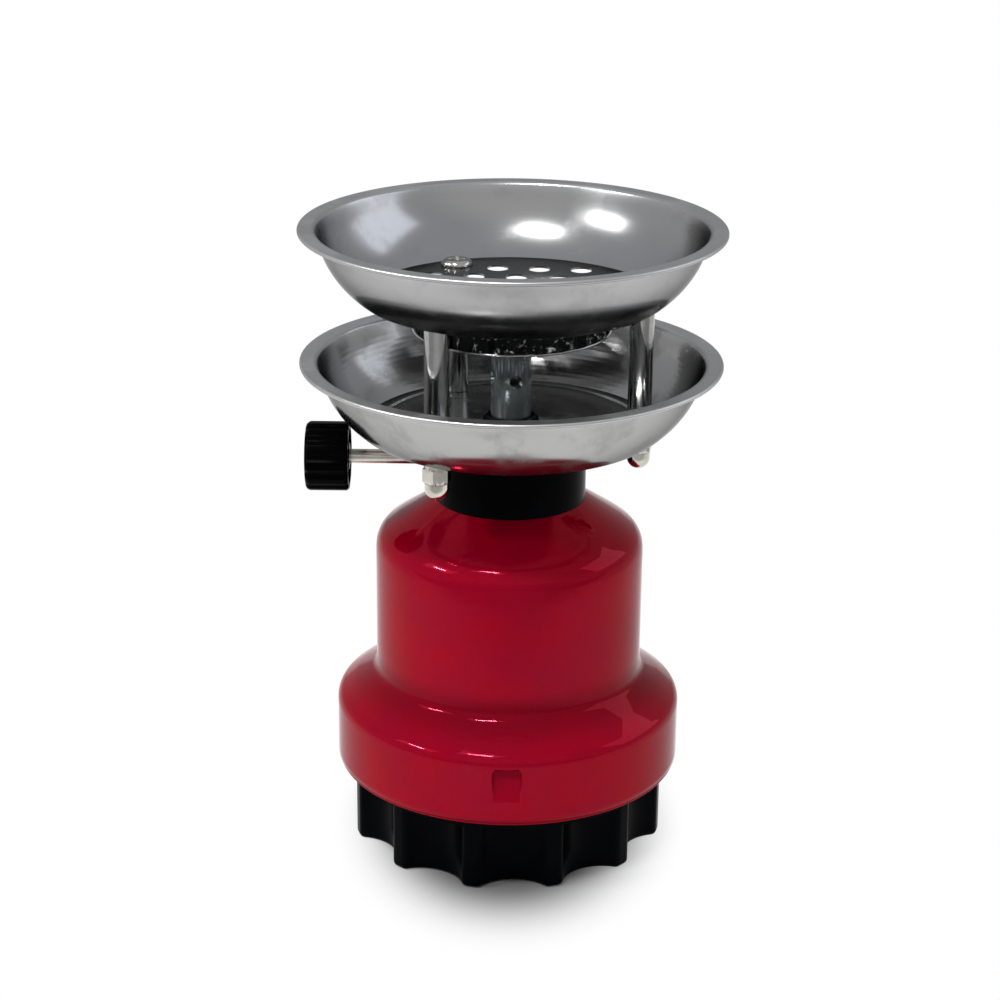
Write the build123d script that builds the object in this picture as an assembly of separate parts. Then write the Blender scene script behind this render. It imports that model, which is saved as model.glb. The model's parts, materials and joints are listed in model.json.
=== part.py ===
from build123d import *
import os
from math import cos, hypot, radians, sin, tan

# Single-burner camping stove on a pierceable gas cartridge, with two bowls over the burner.
# Millimetres, +Z up. The origin is on the stove's axis, on the surface it stands on.
# The valve spindle points along -X. The first bayonet lug faces -Y.

# ---- gas cartridge
cartridge_radius = 45.0
cartridge_height = 90.0
cartridge_bottom_z = 22.05
cartridge_wall = 0.6
cartridge_bead = 1.1
cartridge_dome_rise = 8.5
cartridge_boss_radius = 10.0
cartridge_recess = 3.0
cartridge_neck_drop = 1.2
cartridge_top_z = cartridge_bottom_z + cartridge_height

# ---- housing, one deep-drawn sheet
sheet = 0.8
housing_radius = 46.9
skirt_radius = 61.2
skirt_bottom_z = 28.1
shoulder_z = 128.6
shoulder_flat_radius = 24.05
shoulder_slope = 33.0
shoulder_round = 8.6
shoulder_flat_round = 3.0
step_corner_z = 62.6
step_slope = 35.4
step_hollow_round = 10.9
step_edge_round = 4.1
shoulder_foot_z = shoulder_z - (housing_radius - shoulder_flat_radius) * tan(radians(shoulder_slope))
skirt_corner_z = step_corner_z - (skirt_radius - housing_radius) * tan(radians(step_slope))

# ---- bayonet: pressed lugs in the skirt, cam ribs on the foot
lug_count = 3
lug_first_angle = -90.0
lug_width = 9.6
lug_top_z = 49.1
lug_bottom_z = 36.9
lug_depth = 2.4
lug_round = 1.4
bayonet_turn = 45.0
bayonet_drop = 1.6
rib_start_angle = -6.0
rib_span = 46.0
rib_height = 1.2
rib_outer_radius = 59.15
rib_clearance = 0.27
rib_stop_span = 2.4
rib_stop_gap = 0.1
rib_stop_bottom_z = 45.0

# ---- lobed foot
lobe_count = 12
lobe_first_angle = -72.5
lobe_radius = 56.8
flute_depth = 7.0
flute_radius = 14.7
lobe_round = 2.5
pocket_round = 0.6
foot_bottom_round = 1.8
foot_wall = 2.8
grip_height = 24.3
band_top_z = 27.9
foot_floor_z = 22.0
foot_collar_radius = 56.6
foot_collar_wall = 2.6
foot_collar_gap = 0.12
foot_well_radius = 45.6
foot_guide_wall = 2.0
foot_guide_top_z = 30.0
foot_hub_radius = 12.0
foot_rib_count = 6
foot_rib_thickness = 2.0
foot_rib_bottom_z = 4.0

# ---- threaded neck and seal
neck_bore = 8.05
neck_radius = 10.5
neck_flange_radius = 14.0
neck_flange = 2.4
neck_bottom_z = 120.6
neck_top_z = 130.6
seal_radius = 7.5
seal_thickness = 3.4
seal_bottom_z = cartridge_top_z + 0.05
running_gap = 0.05

# ---- valve body
boss_radius = neck_bore - running_gap
boss_spigot_radius = 7.2
boss_bottom_z = seal_bottom_z + seal_thickness + running_gap
boss_thread_z = 120.5
flange_radius = 12.5
flange_top_z = 133.5
barrel_radius = 11.0
barrel_top_z = 151.1
nipple_radius = 5.55
nipple_top_z = 162.0
nipple_bore = 3.05
nipple_bore_bottom_z = 147.0
passage_radius = 0.9
inlet_offset = 3.0
outlet_offset = 3.4

# ---- needle and jet
needle_radius = 1.5
needle_bore = 0.5
needle_tip_z = 106.0
needle_tip_length = 3.0
needle_top_z = 119.5
pierced_radius = 1.85
jet_thread_radius = 3.0
jet_thread_length = 5.0
jet_hex_across = 7.0
jet_hex_height = 3.5
jet_nose_radius = 2.4
jet_nose_height = 2.0
jet_orifice = 0.3

# ---- spindle, measured outwards from the stove's axis
spindle_z = 141.4
rod_radius = 2.55
rod_end = 68.0
seat_at = 1.5
seat_radius = 0.8
seat_reach = 3.8
chamber_radius = 3.0
chamber_end = 5.0
spindle_bore = 4.0
side_boss_radius = 6.5
side_boss_end = 19.3
cone_tip_at = 0.9
cone_tip_radius = 0.2
cone_end = 4.2
cone_radius = 2.4
thread_from = 6.0
land_end = 17.5
land_radius = spindle_bore - running_gap
groove_at = 15.5
groove_width = 2.0
groove_radius = 2.3
ring_minor = 0.8
gland_across = 14.0
gland_from = 17.0
gland_end = 22.5
gland_turn = 30.0

# ---- knob
knob_radius = 12.3
knob_from = 56.8
knob_end = 72.1
knob_face_round = 1.8
knob_back_round = 1.2
knob_flute_count = 12
knob_flute_radius = 2.4
knob_flute_depth = 0.8
knob_hub_radius = 4.8
knob_hollow_radius = 9.8
knob_hollow_depth = 9.0
knob_bore_gap = 0.02

# ---- collar
collar_radius = 26.75
collar_wall = 2.1
collar_top_z = 153.1
collar_top = 2.0
collar_gap = 0.2
collar_round = 0.8
collar_edge_round = 0.25
collar_side_hole = 4.6
collar_drill_depth = 4.2

# ---- bowls, posts and their fasteners
bowl_sheet = 0.6
bowl_radius = 73.7
bowl_depth = 24.4
bowl_flat_radius = 51.6
bowl_wall_top_radius = 67.7
bowl_foot_slope = 35.4
bowl_top_slope = 71.5
bowl_foot_round = 1.3
bowl_wall_round = 36.0
bowl_lip_round = 1.8
bowl_hem = 0.75
hem_rise = 0.1
lower_floor_z = 153.7
upper_floor_z = 200.7
bowl_turn = -3.5
post_count = 3
post_circle = 45.0
post_radius = 4.3
screw_radius = 2.5
screw_length = 55.0
screw_clearance = 0.2
head_radius = 5.65
head_height = 2.4
head_round = 1.9
cap_nut_across = 8.8
cap_nut_shoulder = 1.9
cap_nut_hex = 5.4
cap_nut_height = 13.9
cap_nut_dome_radius = 4.15
cap_nut_bore_depth = 8.0
cap_nut_turn = 21.0
floor_hole_radius = 3.9
floor_hole_pitch = 15.0
floor_hole_row_step = 12.0
floor_hole_rings = 3
bowl_nut_across = 17.0
bowl_nut_height = 4.0

# ---- burner
tube_radius = 7.1
tube_bore = 5.6
tube_top_z = 188.2
air_hole_radius = 2.1
air_hole_z = 171.3
air_hole_count = 4
air_hole_angle = -75.0
burner_radius = 34.6
burner_lip = 3.8
burner_lip_z = 188.7
burner_sheet = 0.95
burner_hub_radius = 9.2
burner_hub_bottom_z = 183.5
burner_dish = 1.4
burner_cap_z = 195.1
burner_cap_rise = 0.9
port_count = 32
port_radius = 33.2
port_wave = 0.8
port_sheet = 0.4

# ---- helpers


def turned(*points):
    """Solid of revolution about the axis from corner points (radius, height)."""
    section = make_face(Polyline(*points, close=True))
    return revolve(Plane.XZ * section, Axis.Z)


def pressed(points, radii, thickness, side):
    """Revolved sheet of even thickness along a rounded run of (radius, height) points."""
    run = FilletPolyline(*points, radius=radii)
    section = make_face(run.offset_2d(thickness, side=side).edges())
    return revolve(Plane.XZ * section, Axis.Z)


def rod(radius, bottom, top):
    """Upright cylinder on the axis between two heights."""
    align = (Align.CENTER, Align.CENTER, Align.MIN)
    return Pos(0, 0, bottom) * Cylinder(radius, top - bottom, align=align)


def tube(inner, outer, bottom, top):
    """Upright tube on the axis between two heights."""
    return rod(outer, bottom, top) - rod(inner, bottom, top)


def hexagon(across, bottom, top):
    """Upright hexagonal bar on the axis, given its width across flats."""
    outline = RegularPolygon(across / 2, 6, major_radius=False)
    return Pos(0, 0, bottom) * extrude(outline, amount=top - bottom)


def outwards(solid):
    """Lay a solid built along +Z on the spindle's line, pointing along -X."""
    return Pos(0, 0, spindle_z) * Rot(0, -90, 0) * solid


def rims_of(solid, radius):
    """Circular edges of one radius, lowest first."""
    circles = solid.edges().filter_by(GeomType.CIRCLE).sort_by(Axis.Z)
    return [edge for edge in circles if abs(edge.radius - radius) < running_gap]


def around(solid, count, first_angle=0.0):
    """Copies of a solid turned evenly about the axis."""
    return [Rot(0, 0, first_angle + 360.0 * k / count) * solid for k in range(count)]


def post_angles():
    return [bowl_turn + 360.0 * k / post_count for k in range(post_count)]


def on_post(solid, angle):
    """Move a solid from the axis to a post's line."""
    return Rot(0, 0, angle) * Pos(post_circle, 0, 0) * solid


# ---- housing


def lug_wedge(inset, grow):
    """Wedge behind one dent: full depth at its top, running out at its bottom."""
    outer = skirt_radius - inset
    top = lug_top_z + grow
    bottom = lug_bottom_z - grow
    corners = [(outer + sheet, bottom), (outer + sheet, top), (outer - lug_depth, top), (outer, bottom)]
    side = make_face(Polyline(*corners, close=True))
    wedge = extrude(Plane.XZ * side, amount=lug_width, both=True)
    opening = RectangleRounded(lug_width + 2 * grow, top - bottom, lug_round + grow)
    mouth = Plane(origin=(0, 0, (top + bottom) / 2), x_dir=(0, 1, 0), z_dir=(1, 0, 0)) * opening
    return wedge & extrude(mouth, amount=skirt_radius * 2)


def body_shell():
    """Deep-drawn housing: conical shoulder, straight wall, stepped skirt and three pressed lugs."""
    points = [
        (neck_radius + running_gap, shoulder_z),
        (shoulder_flat_radius, shoulder_z),
        (housing_radius, shoulder_foot_z),
        (housing_radius, step_corner_z),
        (skirt_radius, skirt_corner_z),
        (skirt_radius, skirt_bottom_z),
    ]
    radii = [shoulder_flat_round, shoulder_round, step_hollow_round, step_edge_round]
    shell = pressed(points, radii, sheet, Side.RIGHT)
    shell += around(lug_wedge(sheet, sheet), lug_count, lug_first_angle)
    shell -= around(lug_wedge(0, 0), lug_count, lug_first_angle)
    return shell


def neck_bush():
    """Threaded neck pressed into the housing's top, its flange under the sheet."""
    flange_top = shoulder_z - sheet
    bush = rod(neck_radius, neck_bottom_z, neck_top_z)
    bush += rod(neck_flange_radius, flange_top - neck_flange, flange_top)
    return bush - rod(neck_bore, neck_bottom_z, neck_top_z)


# ---- foot


def lobed_outline(inset, rounding):
    """Disc with concave flutes and rounded lobes, drawn in by an inset all round."""
    centre = lobe_radius - flute_depth + flute_radius
    flute = Pos(centre, 0) * Circle(flute_radius + inset)
    flute_angle = lobe_first_angle + 180.0 / lobe_count
    outline = Circle(lobe_radius - inset) - around(flute, lobe_count, flute_angle)
    return fillet(outline.vertices(), rounding)


def collar_top_at(radius):
    """Height of the foot's collar where it meets the slope inside the housing's step."""
    slope = tan(radians(step_slope))
    inside = skirt_corner_z + (skirt_radius - radius) * slope - sheet / cos(radians(step_slope))
    return inside - foot_collar_gap


def foot_upper():
    """Band, well for the cartridge, guide ring and bayonet collar, turned as one."""
    collar_inner = foot_collar_radius - foot_collar_wall
    shelf = grip_height + foot_wall
    guide = foot_well_radius + foot_guide_wall
    return turned(
        (foot_well_radius, foot_floor_z),
        (foot_well_radius, foot_guide_top_z),
        (guide, foot_guide_top_z),
        (guide, shelf),
        (collar_inner, shelf),
        (collar_inner, collar_top_at(collar_inner)),
        (foot_collar_radius, collar_top_at(foot_collar_radius)),
        (foot_collar_radius, band_top_z),
        (lobe_radius, band_top_z),
        (lobe_radius, grip_height),
        (lobe_radius - flute_depth, grip_height),
        (lobe_radius - flute_depth, foot_floor_z),
    )


def cam_rib():
    """Helical rib that rides on one lug and draws the foot up as it turns."""
    rise_per_turn = bayonet_drop * 360.0 / bayonet_turn
    rise = rise_per_turn * rib_span / 360.0
    width = rib_outer_radius - foot_collar_radius + rib_height
    middle = rib_outer_radius - width / 2
    path = Helix(pitch=rise_per_turn, height=rise, radius=middle)
    section = Plane(origin=path @ 0, x_dir=(1, 0, 0), z_dir=path % 0) * Rectangle(width, rib_height)
    rib = sweep(section, path=path, is_frenet=True)
    start_z = lug_top_z + sheet + rib_clearance + rib_height / 2 + rise_per_turn * rib_start_angle / 360.0
    return Pos(0, 0, start_z) * Rot(0, 0, rib_start_angle) * rib


def rib_stop():
    """Upright stop at the low end of a cam rib."""
    top = lug_top_z + sheet + rib_clearance + rib_height / 2
    height = top - rib_stop_bottom_z
    width = rib_outer_radius - foot_collar_radius + rib_height
    section = Pos(rib_outer_radius - width / 2, rib_stop_bottom_z + height / 2) * Rectangle(width, height)
    block = revolve(Plane.XZ * section, Axis.Z, revolution_arc=rib_stop_span)
    return Rot(0, 0, rib_start_angle - rib_stop_gap - rib_stop_span) * block


def foot_stiffeners(pocket):
    """Hub and radial ribs under the foot's floor."""
    top = foot_floor_z
    hub = tube(foot_hub_radius - foot_rib_thickness, foot_hub_radius, foot_rib_bottom_z, top)
    align = (Align.MIN, Align.CENTER, Align.MIN)
    reach = lobe_radius - foot_hub_radius
    plate = Pos(foot_hub_radius - foot_rib_thickness / 2, 0, foot_rib_bottom_z) * Box(
        reach, foot_rib_thickness, top - foot_rib_bottom_z, align=align
    )
    plates = around(plate, foot_rib_count, lobe_first_angle)
    return (hub + plates) & extrude(pocket, amount=top)


def base_cup():
    """Moulded foot: lobed grip, open underneath, with the cartridge well and bayonet on top."""
    grip = extrude(lobed_outline(0, lobe_round), amount=grip_height)
    grip = fillet(grip.faces().sort_by(Axis.Z)[0].edges(), foot_bottom_round)
    grip -= rod(foot_well_radius, foot_floor_z, grip_height)
    pocket = lobed_outline(foot_wall, pocket_round)
    grip -= extrude(pocket, amount=foot_floor_z - foot_wall)
    ribs = around(cam_rib(), lug_count, lug_first_angle)
    stops = around(rib_stop(), lug_count, lug_first_angle)
    return grip + foot_upper() + foot_stiffeners(pocket) + ribs + stops


# ---- cartridge and seal


def gas_cartridge():
    """Thin-walled can with seamed ends, a domed top and the pierced hole in its middle."""
    side = cartridge_radius - cartridge_bead / 2
    seam_z = cartridge_top_z - cartridge_dome_rise
    floor_z = cartridge_bottom_z + cartridge_recess
    points = [
        (pierced_radius, cartridge_top_z),
        (cartridge_boss_radius, cartridge_top_z),
        (cartridge_boss_radius + cartridge_neck_drop, cartridge_top_z - cartridge_neck_drop),
        (side - cartridge_bead, seam_z),
        (side, seam_z),
        (side, floor_z),
        (0, floor_z),
        (0, floor_z + cartridge_wall),
        (side - cartridge_wall, floor_z + cartridge_wall),
        (side - cartridge_wall, seam_z - cartridge_wall),
        (side - cartridge_bead, seam_z - cartridge_wall),
        (cartridge_boss_radius + cartridge_neck_drop, cartridge_top_z - cartridge_neck_drop - cartridge_wall),
        (cartridge_boss_radius, cartridge_top_z - cartridge_wall),
        (pierced_radius, cartridge_top_z - cartridge_wall),
    ]
    top_seam = tube(side - cartridge_bead, cartridge_radius, seam_z - cartridge_bead, seam_z + cartridge_bead)
    foot_seam = tube(side - cartridge_bead, cartridge_radius, cartridge_bottom_z, floor_z + cartridge_bead)
    return turned(*points) + top_seam + foot_seam


def cartridge_seal():
    """Rubber washer between cartridge and valve, the needle through its middle."""
    return tube(needle_radius + running_gap, seal_radius, seal_bottom_z, seal_bottom_z + seal_thickness)


# ---- valve


def drilled(start, end, radius):
    """Round passage between two points (x, z) in the plane of the spindle."""
    run = Vector(end[0] - start[0], 0, end[1] - start[1])
    plane = Plane(origin=(start[0], 0, start[1]), z_dir=run)
    return extrude(plane * Circle(radius), amount=run.length)


def valve_body():
    """Turned valve: threaded boss below, side boss for the spindle, nipple above, drilled through."""
    flange_bottom = neck_top_z + running_gap
    body = rod(boss_spigot_radius, boss_bottom_z, boss_thread_z)
    body += rod(boss_radius, boss_thread_z, flange_bottom)
    body += rod(flange_radius, flange_bottom, flange_top_z)
    body += rod(barrel_radius, flange_top_z, barrel_top_z)
    body += rod(nipple_radius, barrel_top_z, nipple_top_z)
    body += outwards(rod(side_boss_radius, 0, side_boss_end))
    body -= outwards(rod(spindle_bore, chamber_end, side_boss_end))
    body -= outwards(rod(chamber_radius, seat_at, chamber_end))
    body -= outwards(rod(seat_radius, -seat_reach, seat_at))
    body -= rod(needle_radius, boss_bottom_z, needle_top_z)
    body -= drilled((0, needle_top_z - passage_radius), (inlet_offset, spindle_z), passage_radius)
    outlet_top = (-nipple_bore / 2, nipple_bore_bottom_z + passage_radius)
    body -= drilled((-outlet_offset, spindle_z), outlet_top, passage_radius)
    body -= rod(nipple_bore, nipple_bore_bottom_z, nipple_top_z)
    return body


def piercing_needle():
    """Hollow needle with a conical point."""
    shoulder = needle_tip_z + needle_tip_length
    return turned(
        (needle_bore, needle_tip_z),
        (needle_radius, shoulder),
        (needle_radius, needle_top_z),
        (needle_bore, needle_top_z),
    )


def gas_jet():
    """Jet screwed into the nipple: thread, hexagon and drilled nose."""
    hex_top = nipple_top_z + jet_hex_height
    jet = rod(jet_thread_radius, nipple_top_z - jet_thread_length, nipple_top_z)
    jet += hexagon(jet_hex_across, nipple_top_z, hex_top)
    jet += rod(jet_nose_radius, hex_top, hex_top + jet_nose_height)
    return jet - rod(jet_orifice, nipple_top_z - jet_thread_length, hex_top + jet_nose_height)


def gland_nut():
    """Cap nut over the side boss, the rod through its hole."""
    nut = hexagon(gland_across, gland_from, gland_end)
    nut -= rod(side_boss_radius + running_gap, gland_from, side_boss_end)
    nut -= rod(rod_radius + running_gap, gland_from, gland_end)
    return outwards(Rot(0, 0, gland_turn) * nut)


def spindle_o_ring():
    """O-ring in the spindle's groove."""
    return outwards(Pos(0, 0, groove_at) * Torus(groove_radius + running_gap + ring_minor, ring_minor))


def valve_spindle():
    """Needle-valve spindle: cone, thread, grooved land and the long rod to the knob."""
    groove_low = groove_at - groove_width / 2
    groove_high = groove_at + groove_width / 2
    spindle = turned(
        (0, cone_tip_at),
        (cone_tip_radius, cone_tip_at),
        (cone_radius, cone_end),
        (cone_radius, thread_from),
        (land_radius, thread_from),
        (land_radius, groove_low),
        (groove_radius, groove_low),
        (groove_radius, groove_high),
        (land_radius, groove_high),
        (land_radius, land_end),
        (rod_radius, land_end),
        (rod_radius, rod_end),
        (0, rod_end),
    )
    return outwards(spindle)


def knob():
    """Fluted knob with rounded ends, hollow at the back round its hub."""
    body = rod(knob_radius, knob_from, knob_end)
    body = fillet(rims_of(body, knob_radius)[-1], knob_face_round)
    body = fillet(rims_of(body, knob_radius)[0], knob_back_round)
    offset_from_axis = knob_radius + knob_flute_radius - knob_flute_depth
    flute = Pos(offset_from_axis, 0, 0) * rod(knob_flute_radius, knob_from, knob_end)
    body -= around(flute, knob_flute_count, 180.0 / knob_flute_count)
    body -= tube(knob_hub_radius, knob_hollow_radius, knob_from, knob_from + knob_hollow_depth)
    body -= rod(rod_radius + knob_bore_gap, knob_from, rod_end)
    return outwards(body)


def collar():
    """Moulded cover round the valve, its lower edge following the shoulder."""
    inner = collar_radius - collar_wall
    slope = tan(radians(shoulder_slope))
    edge = shoulder_z - (collar_radius - shoulder_flat_radius) * slope + collar_gap
    inner_edge = edge + collar_wall * slope
    bore = nipple_radius + running_gap
    under = collar_top_z - collar_top
    cover = turned(
        (inner, inner_edge),
        (collar_radius, edge),
        (collar_radius, collar_top_z),
        (bore, collar_top_z),
        (bore, under),
        (inner, under),
    )
    cover = fillet(rims_of(cover, collar_radius)[-1], collar_round)
    cover = fillet(rims_of(cover, collar_radius)[0], collar_edge_round)
    return cover - outwards(rod(collar_side_hole, collar_radius - collar_drill_depth, collar_radius))


# ---- bowls and posts


def bowl(floor_z, centre_hole):
    """Pressed bowl: flat floor, curved wall, flat lip and a rolled edge, drilled for the posts."""
    foot_slope = radians(bowl_foot_slope)
    top_slope = radians(bowl_top_slope)
    run = bowl_wall_top_radius - bowl_flat_radius
    rise = bowl_depth
    low = (run * sin(top_slope) - rise * cos(top_slope)) / sin(top_slope - foot_slope)
    corner = (bowl_flat_radius + low * cos(foot_slope), floor_z + low * sin(foot_slope))
    points = [
        (centre_hole, floor_z),
        (bowl_flat_radius, floor_z),
        corner,
        (bowl_wall_top_radius, floor_z + bowl_depth),
        (bowl_radius - bowl_hem, floor_z + bowl_depth),
    ]
    radii = [bowl_foot_round, bowl_wall_round, bowl_lip_round]
    dish = pressed(points, radii, bowl_sheet, Side.RIGHT)
    hem_centre = Pos(bowl_radius - bowl_hem, floor_z + bowl_depth - bowl_hem + hem_rise)
    dish += revolve(Plane.XZ * hem_centre * Circle(bowl_hem), Axis.Z)
    drill = rod(screw_radius + screw_clearance, floor_z - bowl_depth, floor_z + bowl_depth)
    return dish - [on_post(drill, angle) for angle in post_angles()]


def floor_holes():
    """Six-sided field of staggered holes in the upper bowl's floor, without those that the posts take."""
    drill = rod(floor_hole_radius, upper_floor_z - bowl_depth, upper_floor_z + bowl_depth)
    holes = []
    for row in range(-floor_hole_rings, floor_hole_rings + 1):
        in_row = 2 * floor_hole_rings + 1 - abs(row)
        for k in range(in_row):
            x = (k - (in_row - 1) / 2) * floor_hole_pitch
            holes.append((x, row * floor_hole_row_step))
    return [Rot(0, 0, bowl_turn) * Pos(x, y, 0) * drill for x, y in holes if not at_post(x, y)]


def at_post(x, y):
    """True where a floor hole's place is taken by a post screw."""
    places = [360.0 * k / post_count for k in range(post_count)]
    gaps = [hypot(x - post_circle * cos(radians(a)), y - post_circle * sin(radians(a))) for a in places]
    return min(gaps) < floor_hole_radius


def lower_bowl():
    return bowl(lower_floor_z, nipple_radius + running_gap)


def upper_bowl():
    """The bowl over the burner, its floor perforated."""
    return bowl(upper_floor_z, floor_hole_radius) - floor_holes()


def bowl_nut():
    """Flat nut that clamps the lower bowl to the collar."""
    top = lower_floor_z + bowl_nut_height
    return hexagon(bowl_nut_across, lower_floor_z, top) - rod(nipple_radius + running_gap, lower_floor_z, top)


def post(angle):
    """Spacer tube between the bowls."""
    spacer = tube(screw_radius + running_gap, post_radius, lower_floor_z, upper_floor_z - bowl_sheet)
    return on_post(spacer, angle)


def post_screw():
    """Pan-head machine screw, head in the upper bowl, tip in the acorn nut."""
    head = rod(head_radius, upper_floor_z, upper_floor_z + head_height)
    head = fillet(rims_of(head, head_radius)[-1], head_round)
    return head + rod(screw_radius, upper_floor_z - screw_length, upper_floor_z)


def cap_nut():
    """Acorn nut: round shoulder, hexagon and dome, blind from above."""
    top = lower_floor_z - bowl_sheet
    hex_top = top - cap_nut_shoulder
    hex_bottom = hex_top - cap_nut_hex
    bottom = top - cap_nut_height
    dome = rod(cap_nut_dome_radius, bottom + cap_nut_dome_radius, hex_bottom)
    dome += Pos(0, 0, bottom + cap_nut_dome_radius) * Sphere(cap_nut_dome_radius)
    nut = rod(cap_nut_across / 2, hex_top, top) + dome
    nut += Rot(0, 0, cap_nut_turn) * hexagon(cap_nut_across, hex_bottom, hex_top)
    return nut - rod(screw_radius + running_gap, top - cap_nut_bore_depth, top)


# ---- burner


def burner_tube():
    """Mixing tube with a ring of air holes."""
    pipe = tube(tube_bore, tube_radius, lower_floor_z + bowl_nut_height, tube_top_z)
    align = (Align.CENTER, Align.CENTER, Align.MIN)
    drill = Pos(0, 0, air_hole_z) * Rot(0, 90, 0) * Cylinder(air_hole_radius, 2 * tube_radius, align=align)
    return pipe - around(drill, air_hole_count, air_hole_angle)


def burner_base():
    """Dished lower plate of the burner head, with the socket for the tube."""
    socket = tube_radius + running_gap
    inner_lip = burner_radius - burner_lip
    dish_low = burner_lip_z - burner_dish
    return turned(
        (socket, burner_hub_bottom_z),
        (burner_hub_radius, burner_hub_bottom_z),
        (burner_hub_radius, dish_low),
        (inner_lip, burner_lip_z),
        (burner_radius, burner_lip_z),
        (burner_radius, burner_lip_z + burner_sheet),
        (inner_lip, burner_lip_z + burner_sheet),
        (burner_hub_radius, dish_low + burner_sheet),
        (socket, dish_low + burner_sheet),
    )


def wave_face(shift):
    """Zigzag outline of the corrugated strip, moved in or out by a shift."""
    corners = []
    for k in range(2 * port_count):
        angle = radians(180.0 * k / port_count)
        radius = port_radius + shift + (port_wave if k % 2 else -port_wave)
        corners.append((radius * cos(angle), radius * sin(angle)))
    return make_face(Polyline(*corners, close=True))


def port_ring():
    """Corrugated strip between the plates, its waves leave the flame ports."""
    bottom = burner_lip_z + burner_sheet
    strip = wave_face(port_sheet / 2) - wave_face(-port_sheet / 2)
    return Pos(0, 0, bottom) * extrude(strip, amount=burner_cap_z - bottom)


def burner_cap():
    """Shallow domed top plate of the burner head."""
    inner_lip = burner_radius - burner_lip
    return turned(
        (0, burner_cap_z + burner_cap_rise),
        (inner_lip, burner_cap_z),
        (burner_radius, burner_cap_z),
        (burner_radius, burner_cap_z + burner_sheet),
        (inner_lip, burner_cap_z + burner_sheet),
        (0, burner_cap_z + burner_cap_rise + burner_sheet),
    )


# ---- export

single = [
    body_shell,
    neck_bush,
    base_cup,
    gas_cartridge,
    cartridge_seal,
    valve_body,
    piercing_needle,
    gas_jet,
    gland_nut,
    spindle_o_ring,
    valve_spindle,
    knob,
    collar,
    lower_bowl,
    bowl_nut,
    upper_bowl,
    burner_tube,
    burner_base,
    port_ring,
    burner_cap,
]

os.makedirs("parts", exist_ok=True)
for make in single:
    export_step(make(), f"parts/{make.__name__}.step")
for number, angle in enumerate(post_angles(), start=1):
    export_step(post(angle), f"parts/post_{number}.step")
for name, fastener in (("post_screws", post_screw()), ("cap_nuts", cap_nut())):
    group = Compound(children=[on_post(fastener, angle) for angle in post_angles()])
    export_step(group, f"parts/{name}.step")
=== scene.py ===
import json
from math import acos, atan2, ceil, cos, pi, radians, sin, sqrt, tan

import bmesh
import bpy
import numpy as np
from mathutils import Matrix, Vector
from mathutils.geometry import delaunay_2d_cdt


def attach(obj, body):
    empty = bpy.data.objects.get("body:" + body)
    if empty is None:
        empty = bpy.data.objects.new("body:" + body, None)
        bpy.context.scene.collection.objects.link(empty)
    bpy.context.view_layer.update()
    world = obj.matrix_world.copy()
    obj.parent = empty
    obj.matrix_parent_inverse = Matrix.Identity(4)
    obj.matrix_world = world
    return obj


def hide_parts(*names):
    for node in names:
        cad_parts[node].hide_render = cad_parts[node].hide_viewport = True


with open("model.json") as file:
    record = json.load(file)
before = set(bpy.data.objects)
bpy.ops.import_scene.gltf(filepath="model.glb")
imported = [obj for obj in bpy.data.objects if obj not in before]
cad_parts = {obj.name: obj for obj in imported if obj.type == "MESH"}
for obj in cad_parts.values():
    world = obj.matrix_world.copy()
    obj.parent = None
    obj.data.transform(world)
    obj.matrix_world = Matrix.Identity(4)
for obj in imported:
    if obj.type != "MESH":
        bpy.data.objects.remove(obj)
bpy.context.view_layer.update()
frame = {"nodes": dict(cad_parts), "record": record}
mm = 0.001
columns = 144  # points round most of the turned pieces
print("frame loaded:", len(frame["nodes"]), "nodes")

# shader building: wires that do arithmetic, a graph of nodes, and one finish per material


class Wire:
    # a socket whose arithmetic adds Math nodes to its graph
    def __init__(self, graph, socket):
        self.graph = graph
        self.socket = socket

    def math(self, operation, *others):
        return self.graph.node("ShaderNodeMath", {"operation": operation}, [self, *others])

    def __add__(self, other):
        return self.math("ADD", other)

    def __sub__(self, other):
        return self.math("SUBTRACT", other)

    def __rsub__(self, other):
        return self.graph.node("ShaderNodeMath", {"operation": "SUBTRACT"}, [other, self])

    def __mul__(self, other):
        return self.math("MULTIPLY", other)

    def __truediv__(self, other):
        return self.math("DIVIDE", other)

    def __rtruediv__(self, other):
        return self.graph.node("ShaderNodeMath", {"operation": "DIVIDE"}, [other, self])

    __radd__ = __add__
    __rmul__ = __mul__


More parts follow.
